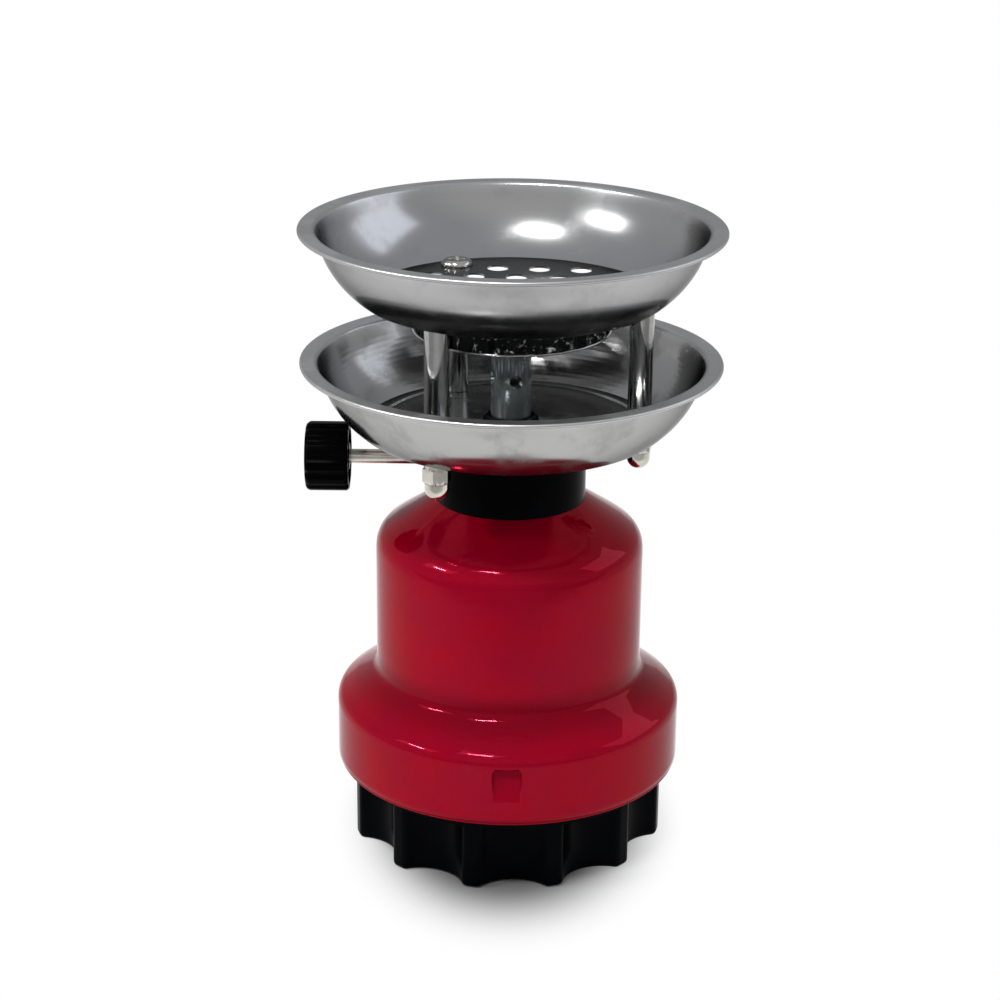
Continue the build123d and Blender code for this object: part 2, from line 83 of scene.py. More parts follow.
class Graph:
    # the node tree of a material or of the world
    def __init__(self, tree):
        self.tree = tree

    def feed(self, socket, value):
        if isinstance(value, Wire):
            self.tree.links.new(value.socket, socket)
        elif isinstance(value, (tuple, list)) and len(value) == 3 and socket.type == "RGBA":
            socket.default_value = (*value, 1)
        else:
            socket.default_value = value

    def node(self, kind, settings=None, inputs=None, output=0):
        made = self.tree.nodes.new(kind)
        for key, value in (settings or {}).items():
            setattr(made, key, value)
        pairs = inputs.items() if isinstance(inputs, dict) else enumerate(inputs or [])
        for key, value in pairs:
            self.feed(made.inputs[key], value)
        return Wire(self, made.outputs[output])

    def place(self):
        # position on the piece, in metres
        return self.node("ShaderNodeTexCoord", output="Object")

    def apart(self, vector):
        split = self.node("ShaderNodeSeparateXYZ", inputs=[vector])
        return [Wire(self, output) for output in split.socket.node.outputs]

    def join(self, x, y, z):
        return self.node("ShaderNodeCombineXYZ", inputs=[x, y, z])

    def noise(self, vector, scale, detail=2.0, roughness=0.5):
        values = {"Vector": vector, "Scale": scale, "Detail": detail, "Roughness": roughness}
        return self.node("ShaderNodeTexNoise", inputs=values)

    def between(self, value, low, high, toLow=0.0, toHigh=1.0):
        # smooth step of the value from low to high
        values = {"Value": value, "From Min": low, "From Max": high, "To Min": toLow, "To Max": toHigh}
        return self.node("ShaderNodeMapRange", {"interpolation_type": "SMOOTHSTEP"}, values)

    def blend(self, factor, first, second):
        # sockets 0, 6 and 7 of a colour Mix are its factor and its two colours
        return self.node("ShaderNodeMix", {"data_type": "RGBA"}, {0: factor, 6: first, 7: second}, output=2)

    def rings(self, across, along):
        # pattern drawn out round the vertical axis: its cells are thin across the turning and long along it
        x, y, z = self.apart(self.place())
        radius = (x * x + y * y).math("SQRT")
        off = radius + 1e-5  # never 0, so that the middle divides too
        return radius, self.join((radius + z * 0.8) * across, x / off * along, y / off * along)


class Finish(Graph):
    def __init__(self, name, **constants):
        self.material = bpy.data.materials.new(name)
        self.material.use_nodes = True
        super().__init__(self.material.node_tree)
        self.shader = self.tree.nodes["Principled BSDF"]
        self.set(**constants)

    def set(self, **values):
        # keys are the shader's socket names written as one word, such as CoatWeight
        names = {socket.name.replace(" ", ""): socket for socket in self.shader.inputs}
        for key, value in values.items():
            self.feed(names[key], value)

    def bump(self, height, depth):
        # depth is the height in millimetres of a full step of the pattern
        values = {"Strength": 1.0, "Distance": depth * mm, "Height": height}
        self.set(Normal=self.node("ShaderNodeBump", inputs=values))


# finishes


def scaled(colour, share):
    return tuple(share * c for c in colour)


def pressedSteel(name, tint, lip, smudge, gloss, insideShadeKeep, heat):
    # bright rolled sheet with polishing rings, long waves from the press, finger smudges and a duller lip;
    # inside the bowl painted shade keeps a share of its colour, and under it near the middle more painted
    # shade darkens it
    steel = Finish(name, Metallic=1.0, SpecularTint=(0.4, 0.4, 0.4, 1))
    place = steel.place()
    radius, ring = steel.rings(900, 2.2)
    fine = steel.noise(ring, 1.0, 3.0, 0.6)
    waves = steel.noise(place, 32.0, 1.5, 0.4)
    marks = steel.between(steel.noise(place, 55.0, 5.0, 0.62), 0.47, 0.66)
    dull = steel.between(radius, 0.0662, 0.0692)  # from just inside the wall's top out to the lip
    inside = steel.node("ShaderNodeAttribute", {"attribute_name": "inside"}, output=2)
    belowShadeZone = (1.0 - inside) * steel.between(radius, 0.0675, 0.0595)  # share of the underside near the middle, where painted shade darkens it
    # painted shade: inside the bowl the colour keeps only the given share
    shadedInside = steel.blend(inside, tint, scaled(tint, insideShadeKeep))
    # painted shade: underneath, towards the middle, the colour darkens further
    shadedBelow = steel.blend(belowShadeZone * heat, shadedInside, scaled(tint, 0.3))
    shade = steel.blend(marks * (0.2 * smudge), shadedBelow, (0.0, 0.0, 0.0))
    steel.set(
        BaseColor=steel.blend(dull, shade, lip),
        Roughness=gloss + marks * (0.16 * smudge) + fine * 0.035 + dull * 0.2,
    )
    steel.bump(fine * 0.05 + waves, 0.02)
    return steel


def enamel(name, colour, deep, share, hollow=-1.0):
    # stoved gloss paint: faint orange peel under a clear, hard surface; a share of its shine takes the
    # paint's colour, and painted shade makes it a little darker in the hollow at that height
    paint = Finish(name, Metallic=share, SpecularIORLevel=0.02, SpecularTint=(0.35, 0.05, 0.08, 1))
    paint.set(CoatWeight=0.55, CoatRoughness=0.012, CoatIOR=1.2)
    place = paint.place()
    cloud = paint.noise(place, 45.0, 3.0, 0.5)
    peel = paint.noise(place, 420.0, 2.0, 0.45)
    slow = paint.noise(place, 90.0, 1.0, 0.4)
    dust = paint.between(paint.noise(place, 2600.0, 0.0), 0.8, 0.84)
    height = paint.apart(place)[2]
    # painted shade: the colour darkens in the hollow at the given height
    hollowShade = paint.between((height - hollow).math("ABSOLUTE"), 0.009, 0.002, 0.0, 0.45)
    body = paint.blend(paint.between(cloud, 0.35, 0.7), deep, colour)
    paint.set(BaseColor=paint.blend(hollowShade, body, scaled(deep, 0.35)), Roughness=cloud * 0.04 + 0.02)
    paint.bump(peel * 0.3 + slow + dust * 0.5, 0.005)
    return paint


def moulding(name, colour, gloss, grain, bend):
    # black moulded plastic: fine grain, flow clouds, handling shine
    plastic = Finish(name, SpecularIORLevel=0.5, IOR=bend)
    place = plastic.place()
    cloud = plastic.noise(place, 60.0, 3.0, 0.55)
    fine = plastic.noise(place, 2200.0, 2.0, 0.5)
    slow = plastic.noise(place, 130.0, 1.0, 0.4)
    lighter = tuple(1.7 * c + 0.0004 for c in colour)
    plastic.set(
        BaseColor=plastic.blend(plastic.between(cloud, 0.4, 0.75), colour, lighter),
        Roughness=gloss + cloud * 0.1 + fine * 0.05,
    )
    plastic.bump(fine * grain + slow * 0.6, 0.02)
    return plastic


def plated(name, tint, gloss, streak, axis, bare=1.0):
    # plated or drawn metal: hair lines along an axis, clouds in the plating; bare is how metallic it looks
    metal = Finish(name, Metallic=bare)
    place = metal.place()
    stretch = [1.0, 1.0, 1.0]
    stretch[axis] = 0.02
    drawn = metal.node("ShaderNodeVectorMath", {"operation": "MULTIPLY"}, [place, stretch])
    lines = metal.noise(drawn, 1500.0, 3.0, 0.6)
    cloud = metal.noise(place, 140.0, 4.0, 0.6)
    metal.set(
        BaseColor=metal.blend(metal.between(cloud, 0.4, 0.72), tint, scaled(tint, 0.78)),
        Roughness=gloss + cloud * 0.09 + lines * streak,
    )
    metal.bump(lines * streak * 4 + cloud * 0.3, 0.006)
    return metal


def turnedMetal(name, tint, gloss):
    # lathe-turned metal: fine tool rings round the vertical axis
    metal = Finish(name, Metallic=1.0)
    ring = metal.rings(2600, 0.6)[1]
    fine = metal.noise(ring, 1.0, 2.0, 0.6)
    cloud = metal.noise(metal.place(), 160.0, 3.0, 0.55)
    metal.set(
        BaseColor=metal.blend(metal.between(cloud, 0.35, 0.75), tint, scaled(tint, 0.72)),
        Roughness=gloss + fine * 0.15,
    )
    metal.bump(fine, 0.008)
    return metal


def shadePaintedSteel(name, bare, soot):
    # strip dark all over with painted shade, keeping the bare steel's colour only in scattered flecks
    metal = Finish(name, Metallic=1.0)
    place = metal.place()
    fleck = metal.between(metal.noise(place, 430.0, 3.0, 0.62), 0.56, 0.68)
    grain = metal.noise(place, 1500.0, 2.0, 0.5)
    metal.set(BaseColor=metal.blend(fleck, soot, bare), Roughness=grain * 0.15 + fleck * -0.1 + 0.22)
    metal.bump(grain * 0.6 + fleck * 0.4, 0.02)
    return metal


def softRubber(name):
    # black rubber with a fine matt grain
    rubber = Finish(name, SpecularIORLevel=0.35)
    fine = rubber.noise(rubber.place(), 1800.0, 3.0, 0.6)
    rubber.set(
        BaseColor=rubber.blend(fine, (0.008, 0.008, 0.009), (0.02, 0.02, 0.021)),
        Roughness=0.62 + fine * 0.2,
    )
    rubber.bump(fine, 0.02)
    return rubber


finishes = {
    "red_enamel": enamel("redEnamel", (0.325, 0.0, 0.012), (0.29, 0.0, 0.015), share=0.3, hollow=0.0635),
    "foot_plastic": moulding("footMoulding", (0.0008, 0.001, 0.0016), 0.2, 0.35, 1.09),
    "collar_plastic": moulding("collarMoulding", (0.0008, 0.001, 0.0014), 0.12, 0.12, 1.075),
    "knob_plastic": moulding("knobMoulding", (0.0004, 0.0004, 0.0005), 0.2, 0.15, 1.075),
    "lower_bowl_steel": pressedSteel(
        "lowerBowlSteel", (0.46, 0.46, 0.455), (0.64, 0.64, 0.635),
        smudge=0.8, gloss=0.13, insideShadeKeep=0.8, heat=0.0,
    ),
    "upper_bowl_steel": pressedSteel(
        "upperBowlSteel", (0.46, 0.46, 0.46), (0.6, 0.6, 0.6),
        smudge=0.45, gloss=0.16, insideShadeKeep=0.95, heat=0.6,
    ),
    "post_chrome": plated("postChrome", (0.52, 0.52, 0.515), 0.03, 0.02, 2),
    "screw_steel": plated("screwSteel", (0.57, 0.555, 0.53), 0.1, 0.02, 2),
    "nut_nickel": plated("nutNickel", (0.74, 0.71, 0.64), 0.09, 0.02, 2),
    "spindle_nickel": plated("spindleNickel", (0.68, 0.65, 0.58), 0.14, 0.06, 0),
    "gland_nickel": plated("glandNickel", (0.66, 0.64, 0.6), 0.16, 0.04, 0),
    "valve_brass": turnedMetal("valveBrass", (0.7, 0.5, 0.2), 0.2),
    "jet_brass": turnedMetal("jetBrassPaintedShade", (0.2, 0.15, 0.09), 0.3),  # painted shade: dark so that the tube's air hole reads dark inside
    "neck_brass": turnedMetal("neckBrass", (0.68, 0.49, 0.2), 0.24),
    "needle_steel": turnedMetal("needleSteel", (0.6, 0.6, 0.6), 0.16),
    "tube_zinc": plated("tubeZinc", (0.86, 0.98, 1.0), 0.06, 0.04, 2, bare=0.93),
    # painted shade: the clamp nut is coloured near black where it sits under the burner
    "nut_zinc": plated("nutZincPaintedShade", (0.04, 0.045, 0.05), 0.3, 0.06, 2),
    "burner_steel": plated("burnerSteel", (0.5, 0.5, 0.49), 0.14, 0.03, 2),
    # painted shade: the port strip between the plates is dark all over
    "port_steel": shadePaintedSteel("portSteel", (0.6, 0.6, 0.58), (0.012, 0.013, 0.013)),
    "seal_rubber": softRubber("sealRubber"),
    "cartridge_paint": enamel("cartridgeLacquer", (0.62, 0.62, 0.6), (0.52, 0.52, 0.5), share=0.1),
}
finishes["nut_zinc"].set(SpecularTint=(0.12, 0.12, 0.13, 1))  # painted shade: its shine is cut too, so that it stays dark under the burner
slotOf = {part["node"]: part["material_slot"] for part in frame["record"]["subparts"]}
bodyOf = {n: body for body, nodes in frame["record"]["behaviour"]["bodies"].items() for n in nodes}
for nodeName, cadNode in frame["nodes"].items():
    if not cadNode.material_slots:
        cadNode.data.materials.append(None)
    for slot in cadNode.material_slots:
        slot.material = finishes[slotOf[nodeName]].material
print("finishes made:", len(finishes))

# surfaces; lengths from here to the housing are millimetres, and makePiece turns them into metres


def gridFaces(rows, cols, closeRows, closeCols):
    # face (i, j) joins point (i, j) to its neighbours in the next row and the next column
    i = np.arange(rows if closeRows else rows - 1)[:, None]
    j = np.arange(cols if closeCols else cols - 1)[None]
    i2, j2 = (i + 1) % rows, (j + 1) % cols
    return np.stack([i * cols + j, i2 * cols + j, i2 * cols + j2, i * cols + j2], -1).reshape(-1, 4)


def evenRun(points, step):
    # the same line with no stretch longer than the step: each stretch is cut into equal lengths
    points = np.asarray(points, float)
    pieces = []
    for a, b in zip(points[:-1], points[1:]):
        cuts = max(1, ceil(np.hypot(*(b - a)) / step))
        pieces.append(a + (b - a) * np.arange(cuts)[:, None] / cuts)
    return np.concatenate(pieces + [points[-1:]])


def roundedRun(corners, radii, step=1.5, turns=9):
    # straight stretches, each inner corner replaced by the arc of its radius that touches both stretches
    corners = np.asarray(corners, float)
    line = [corners[:1]]
    for before, corner, after, radius in zip(corners[:-2], corners[1:-1], corners[2:], radii):
        if radius <= 0:
            line.append(corner[None])
            continue
        back = (before - corner) / np.hypot(*(before - corner))
        on = (after - corner) / np.hypot(*(after - corner))
        half = acos(np.clip(back @ on, -1, 1)) / 2
        middle = corner + (back + on) / np.hypot(*(back + on)) * radius / sin(half)
        first = corner + back * radius / tan(half) - middle
        last = corner + on * radius / tan(half) - middle
        start = atan2(first[1], first[0])
        sweep = (atan2(last[1], last[0]) - start + pi) % (2 * pi) - pi
        a = start + sweep * np.linspace(0, 1, turns)
        line.append(middle + radius * np.stack([np.cos(a), np.sin(a)], -1))
    line.append(corners[-1:])
    return evenRun(np.concatenate(line), step)


def shifted(run, distance):
    # the line moved square to itself, to the right of its direction
    ahead = np.gradient(run, axis=0)
    ahead /= np.hypot(*ahead.T)[:, None]
    return run + distance * np.stack([ahead[:, 1], -ahead[:, 0]], -1)


def arc(x, y, radius, first, last, turns=9):
    # points on a circle between two angles in degrees
    a = np.radians(np.linspace(first, last, turns))
    return np.stack([x + radius * np.cos(a), y + radius * np.sin(a)], -1)


def spin(run, closed=True, angles=None, limit=None):
    # point (a, s) = (r cos a, r sin a, z(s)), where r = r(s), or the limit's r(a) where that is less
    angles = np.linspace(0, 2 * pi, columns, endpoint=False) if angles is None else angles
    a = angles[:, None]
    r = run[:, 0] + 0 * a
    if limit is not None:
        r = np.minimum(r, limit(a))
    points = np.stack([r * np.cos(a), r * np.sin(a), run[:, 1] + 0 * a], -1)
    return points.reshape(-1, 3), gridFaces(len(angles), len(run), True, closed)


def hexLimit(across):
    # distance from the axis to a hexagon's side, in the direction a
    def limit(a):
        return across / 2 / np.cos(a % (pi / 3) - pi / 6)

    return limit


def moved(patch, x=0.0, z=0.0, turn=0.0):
    # the patch turned about the vertical axis and then shifted
    points, faces = patch
    c, s = cos(radians(turn)), sin(radians(turn))
    px, py, pz = points.T
    return np.stack([px * c - py * s + x, px * s + py * c, pz + z], -1), faces


def makePiece(name, patches, node, sharp=30, also=()):
    # welds the patches into one mesh and lets it stand for a CAD node, and for any others named
    points = np.concatenate([p for p, f in patches]) * mm
    starts = np.cumsum([0] + [len(p) for p, f in patches])
    faces = [face for (p, f), start in zip(patches, starts) for face in (f + start).tolist()]
    mesh = bpy.data.meshes.new(name)
    mesh.from_pydata(points.tolist(), [], faces)
    work = bmesh.new()
    work.from_mesh(mesh)
    bmesh.ops.remove_doubles(work, verts=work.verts, dist=0.002 * mm)
    bmesh.ops.dissolve_degenerate(work, edges=work.edges, dist=0.001 * mm)
    bmesh.ops.recalc_face_normals(work, faces=work.faces)
    work.to_mesh(mesh)
    work.free()
    mesh.shade_smooth()
    mesh.set_sharp_from_angle(angle=radians(sharp))
    piece = bpy.data.objects.new(name, mesh)
    bpy.context.scene.collection.objects.link(piece)
    mesh.materials.append(finishes[slotOf[node]].material)
    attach(piece, bodyOf[node])
    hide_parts(node, *also)
    return piece


def clearOf(points, holes, share):
    # true for a point that is further than that share of the radius from the middle of every hole
    return np.all([np.hypot(*(points - (x, y)).T) > radius * share for x, y, radius, count in holes], axis=0)


def sheetWithHoles(corners, holes, inner=None):
    # flat triangles inside a closed outline, less its round holes (x, y, radius, points); the inner points
    # are kept where they lie well clear of the holes
    loops = [np.asarray(corners, float)]
    for x, y, radius, count in holes:
        a = 2 * pi * np.arange(count) / count
        loops.append(np.stack([x + radius * np.cos(a), y + radius * np.sin(a)], -1))
    starts = np.cumsum([0] + [len(loop) for loop in loops])
    edges = []
    for start, loop in zip(starts.tolist(), loops):
        edges += [(start + k, start + (k + 1) % len(loop)) for k in range(len(loop))]
    flat = np.concatenate(loops)
    if inner is not None:
        flat = np.concatenate([flat, inner[clearOf(inner, holes, 1.15)]])
    verts, _, tris, *_ = delaunay_2d_cdt([Vector(p) for p in flat], edges, [], 0, 1e-6)
    verts, tris = np.array([tuple(v) for v in verts]), np.array(tris)
    middle = verts[tris].mean(1)
    keep = clearOf(middle, holes, 0.991)  # a hole of 24 points comes that near to its middle between them
    return verts, tris[keep], loops[1:]


def wallBetween(near, far):
    # strip of faces between two closed loops of equal length
    return np.concatenate([near, far]), gridFaces(2, len(near), False, True)


def unrolledWall(radius, low, high, around, rows, holes):
    # a tube's wall drawn flat as (angle x radius, z), less its round holes; ends are its two edges
    wide = 2 * pi * radius
    across = wide * np.arange(around + 1) / around
    up = np.linspace(low, high, rows)[1:-1]
    ends = [np.column_stack([across, np.full(around + 1, z)]) for z in (low, high)]
    sides = [np.column_stack([np.full(len(up), wide), up]), np.column_stack([np.zeros(len(up)), up[::-1]])]
    outline = np.concatenate([ends[0], sides[0], ends[1][::-1], sides[1]])
    grid = np.stack(np.meshgrid(across[1:-1], up), -1).reshape(-1, 2)
    flat, tris, loops = sheetWithHoles(outline, holes, grid)
    return flat, tris, loops, ends


def rolled(points, radius, r, seam=0.0):
    # flat point (s, z) becomes (r cos a, r sin a, z) with a = s / radius + seam
    a = points[:, 0] / radius + seam
    return np.stack([r * np.cos(a), r * np.sin(a), points[:, 1]], -1)


# bowls

bowl = {
    "rim": 73.7, "depth": 24.4, "flat": 51.6, "wallTop": 67.7, "footSlope": 35.4, "topSlope": 71.5,
    "footRound": 1.3, "wallRound": 36.0, "lipRound": 1.8, "hem": 0.75, "hemRise": 0.1, "sheet": 0.6,
    "turn": -3.5, "lowerFloor": 153.7, "upperFloor": 200.7, "middleHole": 5.6,
    "ringAt": 48.9, "ringHalf": 2.6, "ringSlope": 0.9, "ringRise": 0.6,
    "holeRadius": 3.9, "holePitch": 15.0, "holeRowStep": 12.0, "holeRings": 3, "holeEdge": 50.6,
}
posts = {"circle": 45.0, "radius": 4.3, "bore": 2.55, "screwHole": 2.7}
postAngles = [bowl["turn"] + 120 * k for k in range(3)]


def bowlRuns(floorZ, start):
    # top run from the start radius over floor, wall and lip; the lower run lies one sheet below it
    low, high = radians(bowl["footSlope"]), radians(bowl["topSlope"])
    run, rise = bowl["wallTop"] - bowl["flat"], bowl["depth"]
    length = (run * sin(high) - rise * cos(high)) / sin(high - low)
    bend = (bowl["flat"] + length * cos(low), floorZ + length * sin(low))
    lipEnd = bowl["rim"] - bowl["hem"] * 1.6
    corners = [
        (start, floorZ), (bowl["flat"], floorZ), bend,
        (bowl["wallTop"], floorZ + rise), (lipEnd, floorZ + rise),
    ]
    top = roundedRun(corners, [bowl["footRound"], bowl["wallRound"], bowl["lipRound"]], 1.2, 12)
    return top, shifted(top, bowl["sheet"])


def hemRun(floorZ):
    # rolled edge, from the lip's top round to its underside
    x = bowl["rim"] - bowl["hem"]
    y = floorZ + bowl["depth"] - bowl["hem"] + bowl["hemRise"]
    return arc(x, y, bowl["hem"], 118, -160, 14)


def markInside(piece):
    # one number a point: 1 on the faces that look up into the bowl, 0 underneath
    normals = np.empty(3 * len(piece.data.vertices), np.float32)
    piece.data.vertices.foreach_get("normal", normals)
    layer = piece.data.attributes.new("inside", "FLOAT", "POINT")
    layer.data.foreach_set("value", (normals[2::3] > 0).astype(np.float32))


def lowerBowl():
    # turned section; a ring on the floor rises by its height x (3 s^2 - 2 s^3), s growing over its slope
    top, under = bowlRuns(bowl["lowerFloor"], bowl["middleHole"])
    top = evenRun(top, 0.4)
    s = np.clip((bowl["ringHalf"] - np.abs(top[:, 0] - bowl["ringAt"])) / bowl["ringSlope"], 0, 1)
    top[:, 1] += bowl["ringRise"] * s * s * (3 - 2 * s)
    loop = np.concatenate([top, hemRun(bowl["lowerFloor"]), under[::-1]])
    markInside(makePiece("lowerBowlPressing", [spin(loop)], "lower_bowl"))


def floorHoles():
    # six-sided field of staggered holes as (x, y, radius, points), without those that the posts take
    rings, radius, circle = bowl["holeRings"], bowl["holeRadius"], posts["circle"]
    holes = []
    for row in range(-rings, rings + 1):
        count = 2 * rings + 1 - abs(row)
        x = (np.arange(count) - (count - 1) / 2) * bowl["holePitch"]
        holes += [(px, row * bowl["holeRowStep"], radius, 32) for px in x]
    spots = [(circle * cos(2 * pi * k / 3), circle * sin(2 * pi * k / 3)) for k in range(3)]
    holes = [h for h in holes if min(np.hypot(h[0] - x, h[1] - y) for x, y in spots) > radius]
    holes += [(x, y, posts["screwHole"], 24) for x, y in spots]
    turn = radians(bowl["turn"])
    return [(x * cos(turn) - y * sin(turn), x * sin(turn) + y * cos(turn), r, n) for x, y, r, n in holes]


def level(points, z):
    # flat point (x, y) becomes (x, y, z)
    return np.column_stack([points, np.full(len(points), z)])


def upperBowl():
    # turned wall and lip round a flat floor, which is two sheets of triangles joined at its holes
    floorZ = bowl["upperFloor"]
    lowZ = floorZ - bowl["sheet"]
    top, under = bowlRuns(floorZ, bowl["holeEdge"])
    wall = spin(np.concatenate([top, hemRun(floorZ), under[::-1]]), closed=False)
    a = 2 * pi * np.arange(columns) / columns
    outline = bowl["holeEdge"] * np.stack([np.cos(a), np.sin(a)], -1)
    flat, tris, loops = sheetWithHoles(outline, floorHoles())
    patches = [wall, (level(flat, floorZ), tris), (level(flat, lowZ), tris)]
    patches += [wallBetween(level(loop, floorZ), level(loop, lowZ)) for loop in loops]
    markInside(makePiece("upperBowlPressing", patches, "upper_bowl"))


lowerBowl()
upperBowl()
print("bowls made")

# posts, screws and acorn nuts


def postTube(number, angle):
    # turned ring section with chamfered outer edges
    low, high = bowl["lowerFloor"], bowl["upperFloor"] - bowl["sheet"]
    edge = 0.25
    corners = [
        (posts["bore"], low), (posts["radius"] - edge, low), (posts["radius"], low + edge),
        (posts["radius"], high - edge), (posts["radius"] - edge, high), (posts["bore"], high),
    ]
    run = evenRun(corners + corners[:1], 4.0)[:-1]
    tube = moved(spin(run, angles=2 * pi * np.arange(64) / 64), x=posts["circle"])
    makePiece(f"postTube{number}", [moved(tube, turn=angle)], f"post_{number}")


screw = {
    "head": 5.65, "height": 2.4, "round": 1.9, "crown": 0.3, "shank": 2.5, "length": 55.0, "point": 0.6,
    "wing": 2.9, "wingWidth": 1.5, "recess": 1.7, "turns": (17.0, 64.0, 41.0),
}


def crossDepth(x, y):
    # depth of the cross recess: two tapering wings, deepest in the middle, with steep walls
    def wing(u, v):
        half = screw["wingWidth"] / 2 * (1 - 0.3 * np.abs(u) / screw["wing"])
        side = np.clip((half - np.abs(v)) / 0.16 + 0.5, 0, 1)
        end = np.clip((screw["wing"] - np.abs(u)) / 0.5, 0, 1)
        return side * end * screw["recess"] * (1 - 0.45 * np.abs(u) / screw["wing"])

    return np.maximum(wing(x, y), wing(y, x))


def panHead(angle, turn):
    # head with a crowned top: z = height - crown (r / R)^2 - cross depth, then a rounded edge and the shank
    a = 2 * pi * np.arange(120) / 120
    flat = screw["head"] - screw["round"]
    r = np.linspace(0, flat, 36)
    crown = screw["height"] - screw["crown"] * (r / screw["head"]) ** 2
    edge = arc(flat, crown[-1] - screw["round"], screw["round"], 90, 0, 10)[1:]
    edge[:, 1] = np.maximum(edge[:, 1], 0.35)
    under = [(screw["head"], 0.25), (screw["head"] - 0.25, 0.0), (screw["shank"], 0.0)]
    end = -screw["length"]
    tail = [(screw["shank"], end + screw["point"]), (screw["shank"] - screw["point"], end), (0, end)]
    run = np.concatenate([np.column_stack([r, crown]), edge, under, tail])
    points, faces = spin(run, closed=False, angles=a)
    x, y, z = points.T
    topFace = z > screw["height"] - 1.0
    z = np.where(topFace & (np.hypot(x, y) < flat), z - crossDepth(x, y), z)
    head = moved((np.stack([x, y, z], -1), faces), turn=turn)
    return moved(moved(head, x=posts["circle"], z=bowl["upperFloor"]), turn=angle)


nut = {
    "across": 8.8, "shoulder": 1.9, "hexHeight": 5.4, "height": 13.9, "dome": 4.15,
    "bore": 2.55, "depth": 8.0, "cut": 0.96, "turn": 21.0,
}


def acornNut(angle):
    # round shoulder, hexagon r(a) cut by 30 degree cones at both ends, then a dome; bored from above
    top = bowl["lowerFloor"] - bowl["sheet"]
    low, shoulder = top - nut["height"], top - nut["shoulder"]
    seat = shoulder - nut["hexHeight"]
    corner, flat = nut["across"] / sqrt(3), nut["across"] / 2
    cone = (corner - flat * nut["cut"]) * tan(radians(30))
    bottom, mouth, dome = top - nut["depth"], nut["bore"], nut["dome"]
    run = np.concatenate([
        [(0, bottom), (mouth, bottom + 0.8), (mouth, top - 0.4), (mouth + 0.4, top)],
        [(flat * nut["cut"], top), (flat * 0.98, top - 0.15), (flat * 0.98, shoulder)],
        [(corner, shoulder - cone), (corner, seat + cone), (flat * 0.99, seat), (dome - 0.2, seat - 0.1)],
        arc(dome - 0.3, seat - 0.5, 0.3, 80, 0, 4),
        evenRun([(dome, seat - 0.6), (dome, low + dome + 0.2)], 0.8),
        arc(0, low + dome, dome - 0.01, 0, -90, 14),
    ])
    body = spin(evenRun(run, 1.0)[::-1], closed=False, limit=hexLimit(nut["across"]))
    return moved(moved(moved(body, turn=nut["turn"]), x=posts["circle"]), turn=angle)


for number, angle in enumerate(postAngles, start=1):
    postTube(number, angle)
heads = [panHead(angle, turn) for angle, turn in zip(postAngles, screw["turns"])]
makePiece("panHeadScrews", heads, "post_screws", sharp=35)
makePiece("acornNuts", [acornNut(a) for a in postAngles], "cap_nuts", sharp=24)
print("posts, screws and nuts made")

# burner

burner = {
    "tube": 7.1, "bore": 5.6, "tubeLow": 157.7, "tubeHigh": 188.2,
    "hole": 2.3, "holeZ": 171.3, "holeAngle": -75.0,
    "radius": 34.6, "lip": 3.8, "lipZ": 188.7, "sheet": 0.95, "hub": 9.2, "hubLow": 183.5, "dish": 1.4,
    "capZ": 195.1, "capRise": 0.9, "ports": 32, "portRadius": 33.2, "wave": 0.8, "strip": 0.4,
}


def mixingTube():
    # wall drawn flat with its air holes cut, then rolled up at the outer radius and at the bore
    radius, bore = burner["tube"], burner["bore"]
    seam = radians(burner["holeAngle"] - 45)
    holes = [(2 * pi * radius * (k + 0.5) / 4, burner["holeZ"], burner["hole"], 28) for k in range(4)]
    flat, tris, loops, ends = unrolledWall(radius, burner["tubeLow"], burner["tubeHigh"], 72, 14, holes)
    patches = [(rolled(flat, radius, r, seam), tris) for r in (radius, bore)]
    for line in loops + [end[:-1] for end in ends]:
        patches.append(wallBetween(rolled(line, radius, radius, seam), rolled(line, radius, bore, seam)))
    makePiece("mixingTube", patches, "burner_tube", sharp=40)


def burnerPlates():
    # two turned plates; the cap's crown is low + rise (1 - (r / lip)^2)
    lip, rim, sheet = burner["radius"] - burner["lip"], burner["radius"], burner["sheet"]
    low, dish, socket = burner["lipZ"], burner["lipZ"] - burner["dish"], burner["tube"] + 0.05
    hub, edge = burner["hub"], sheet / 2
    under = [(hub, dish - 0.3), (hub + 0.5, dish), (lip, low), (rim - edge, low)]
    over = [(rim - edge, low + sheet), (lip, low + sheet), (hub, dish + sheet), (socket, dish + sheet)]
    base = np.concatenate([
        [(socket, burner["hubLow"])],
        arc(hub - 0.4, burner["hubLow"] + 0.4, 0.4, -90, 0, 4),
        evenRun(under, 2.0),
        arc(rim - edge, low + edge, edge, -80, 80, 7),
        evenRun(over, 2.0),
    ])
    makePiece("burnerPlate", [spin(evenRun(np.vstack([base, base[:1]]), 2.5)[:-1])], "burner_base", sharp=35)
    low, rise = burner["capZ"], burner["capRise"]
    across = np.linspace(0, lip, 14)
    crown = low + rise * (1 - (across / lip) ** 2)
    cap = np.concatenate([
        np.column_stack([across, crown]),
        [(rim - edge, low)],
        arc(rim - edge, low + edge, edge, -80, 80, 7),
        [(rim - edge, low + sheet)],
        np.column_stack([across, crown + sheet])[::-1],
    ])
    makePiece("burnerCapPlate", [spin(cap, closed=False)], "burner_cap", sharp=35)


